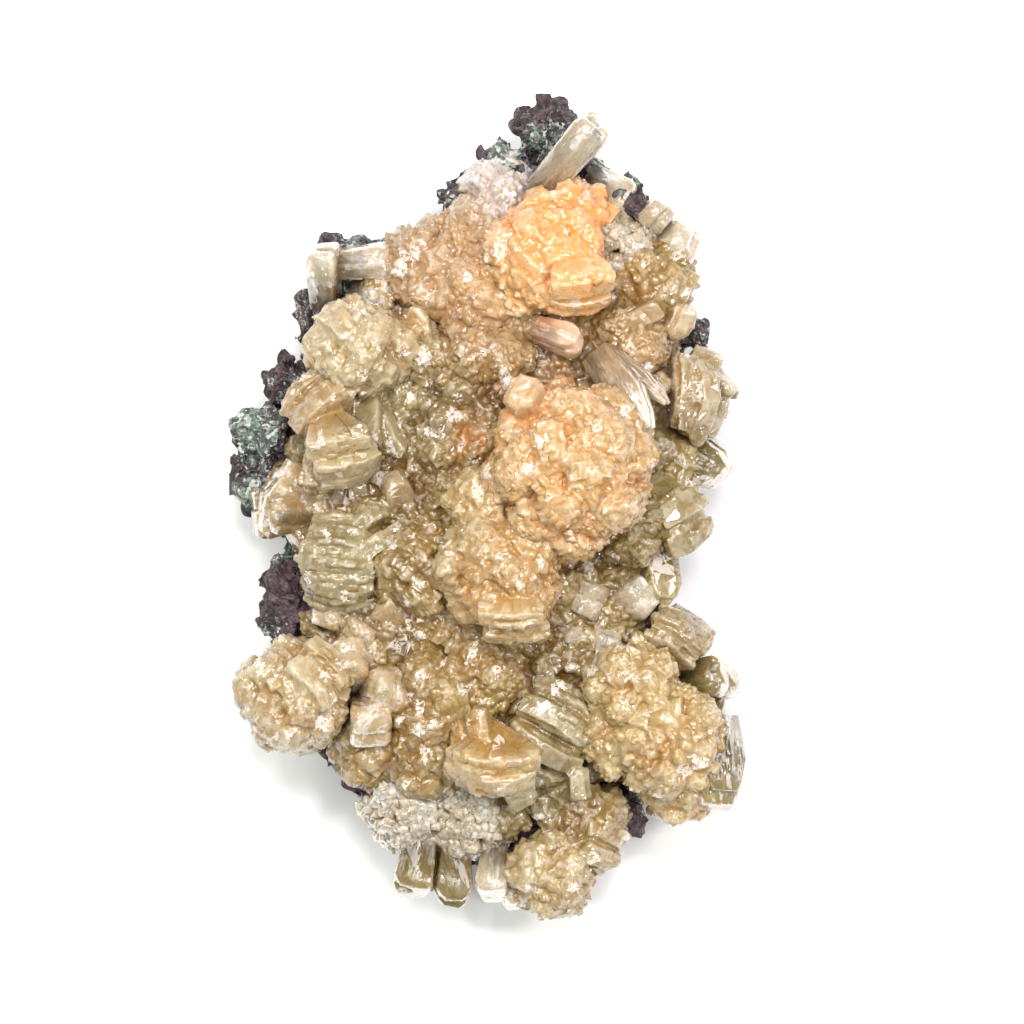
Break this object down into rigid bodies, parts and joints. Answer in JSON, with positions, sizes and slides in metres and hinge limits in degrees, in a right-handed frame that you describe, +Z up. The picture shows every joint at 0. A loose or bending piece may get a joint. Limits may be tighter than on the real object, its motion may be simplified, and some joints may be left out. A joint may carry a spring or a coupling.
{
  "type": "crystal specimen",
  "caption": "Crystal specimen: honey and peach stellerite balls and sheaves with clear heulandite blades on dark basalt, lying on its flat sawn rock face.",
  "frame": {"origin": "centre of the bounding box's underside, on the sawn face of the rock", "axes": "+Z up from the sawn face through the crystals, +Y along the long side towards the pointed end of the rock"},
  "size_m": [0.0728, 0.1157, 0.0411],
  "materials": {
    "basalt": "dull, rough, dark purple-brown with blue-green dust",
    "stellerite_peach": "translucent, pearly",
    "stellerite_honey": "translucent, pearly",
    "heulandite": "clear to milky, pearly gloss"
  },
  "bodies": {
    "root": {"basalt_matrix": "basalt", "heulandite_blade_right": "heulandite", "heulandite_blade_top": "heulandite", "heulandite_blades_bottom_left": "heulandite", "heulandite_block_pink": "heulandite", "heulandite_bottom": "heulandite", "heulandite_cluster_lower_left": "heulandite", "heulandite_druse_lower_left": "heulandite", "heulandite_fan_far_left": "heulandite", "heulandite_green_right": "heulandite", "heulandite_group_upper_right": "heulandite", "heulandite_knob_right": "heulandite", "heulandite_large_right": "heulandite", "heulandite_mid_left": "heulandite", "heulandite_pair_upper_left": "heulandite", "heulandite_point_right": "heulandite", "heulandite_trio_mid_right": "heulandite", "stellerite_ball_center": "stellerite_peach", "stellerite_ball_green": "stellerite_honey", "stellerite_ball_lower_center": "stellerite_peach", "stellerite_ball_lower_left": "stellerite_honey", "stellerite_barrel_left": "stellerite_honey", "stellerite_blades_lower_right": "stellerite_honey", "stellerite_cluster_right": "stellerite_honey", "stellerite_columns_right": "stellerite_honey", "stellerite_crust": "stellerite_honey", "stellerite_dome_left": "stellerite_honey", "stellerite_frost_top": "stellerite_honey", "stellerite_leaves_left": "stellerite_honey", "stellerite_mass_lower": "stellerite_honey", "stellerite_mound_upper_left": "stellerite_honey", "stellerite_ribbed_bottom": "stellerite_honey", "stellerite_rosette_bottom": "stellerite_honey", "stellerite_rosette_lower_right": "stellerite_peach", "stellerite_rosette_top": "stellerite_peach", "stellerite_sheaf_bottom_center": "stellerite_peach", "stellerite_sheaf_left": "stellerite_honey", "stellerite_sheaf_mid_left": "stellerite_honey", "stellerite_sprays_upper_right": "stellerite_honey"}
  },
  "joints": []
}
